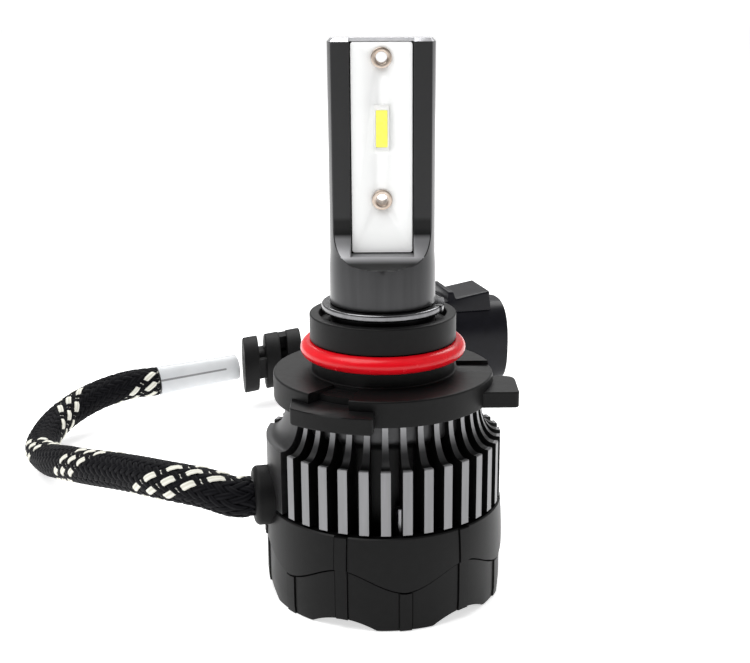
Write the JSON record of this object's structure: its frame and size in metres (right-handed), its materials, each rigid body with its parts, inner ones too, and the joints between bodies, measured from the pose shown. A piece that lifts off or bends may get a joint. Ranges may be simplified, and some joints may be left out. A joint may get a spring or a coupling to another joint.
{
  "type": "led headlight bulb",
  "caption": "LED headlight bulb: flat emitter column, lugged collar with a red sealing ring, finned heat sink, fan in the rear cover, braided lead and two-blade plug.",
  "frame": {"origin": "on the bulb's axis, at the floor that its rear cover stands on", "axes": "+Z along the bulb's axis from the rear cover to the emitter tip; -Y out of the front LED board; +X towards the collar's narrow lug"},
  "size_m": [0.0892, 0.1207, 0.0744],
  "materials": {
    "dark_aluminium": "dark grey anodised, satin, bare metal on the tip's chamfers",
    "white_board": "white solder mask, satin",
    "phosphor": "yellow phosphor in clear silicone",
    "tinned_brass": "tinned, satin",
    "clip_steel": "black spring steel, polished edge",
    "black_rubber": "black rubber, matt",
    "red_rubber": "red silicone rubber, glossy",
    "black_plastic": "black glass-filled nylon, satin",
    "cover_plastic": "satin black",
    "sink_black": "black anodised, fin faces turned bright",
    "green_board": "green solder mask",
    "ferrite": "dark grey, matt",
    "copper": "enamelled copper wire",
    "steel": "zinc plated",
    "bronze": "sintered bronze",
    "black_braid": "braided polyester, black with cream tracer threads",
    "white_sleeve": "white shrink sleeve, satin"
  },
  "bodies": {
    "root": {"emitter_column": "dark_aluminium", "led_board_front": "white_board", "led_board_rear": "white_board", "led_frame_front": "white_board", "led_frame_rear": "white_board", "led_phosphor_front": "phosphor", "led_phosphor_rear": "phosphor", "upper_eyelet": "tinned_brass", "lower_eyelet": "tinned_brass", "emitter_lead_left": "red_rubber", "emitter_lead_right": "black_rubber", "retaining_clip": "clip_steel", "stem_seal": "black_rubber", "heat_sink": "sink_black", "driver_board": "green_board", "driver_inductor": "ferrite", "driver_capacitor": "steel", "driver_chip": "ferrite", "rear_cover": "cover_plastic", "cover_screw_1": "steel", "cover_screw_2": "steel", "cover_screw_3": "steel", "fan_frame": "black_plastic", "fan_screw_1": "steel", "fan_screw_2": "steel", "fan_screw_3": "steel", "fan_bearing": "bronze", "fan_board": "green_board", "fan_stator": "steel", "fan_coil_1": "copper", "fan_coil_2": "copper", "fan_coil_3": "copper", "fan_coil_4": "copper", "cable_gland": "black_rubber", "power_lead": "black_braid", "label_sleeve": "white_sleeve", "strain_relief_boot": "black_rubber", "plug_shell": "black_plastic", "plug_pin_left": "tinned_brass", "plug_pin_right": "tinned_brass", "wire_seal_left": "red_rubber", "wire_seal_right": "red_rubber"},
    "collar": {"adapter_collar": "black_plastic", "o_ring": "red_rubber"},
    "rotor": {"fan_rotor": "black_plastic", "fan_magnet": "ferrite", "fan_shaft": "steel"}
  },
  "joints": [
    {"name": "collar_turn", "type": "hinge", "parent": "root", "child": "collar", "pos_m": [0, 0, 0.034], "axis": [0, 0, 1], "continuous": true},
    {"name": "fan_spin", "type": "hinge", "parent": "root", "child": "rotor", "pos_m": [0, 0, 0.0065], "axis": [0, 0, 1], "continuous": true}
  ]
}
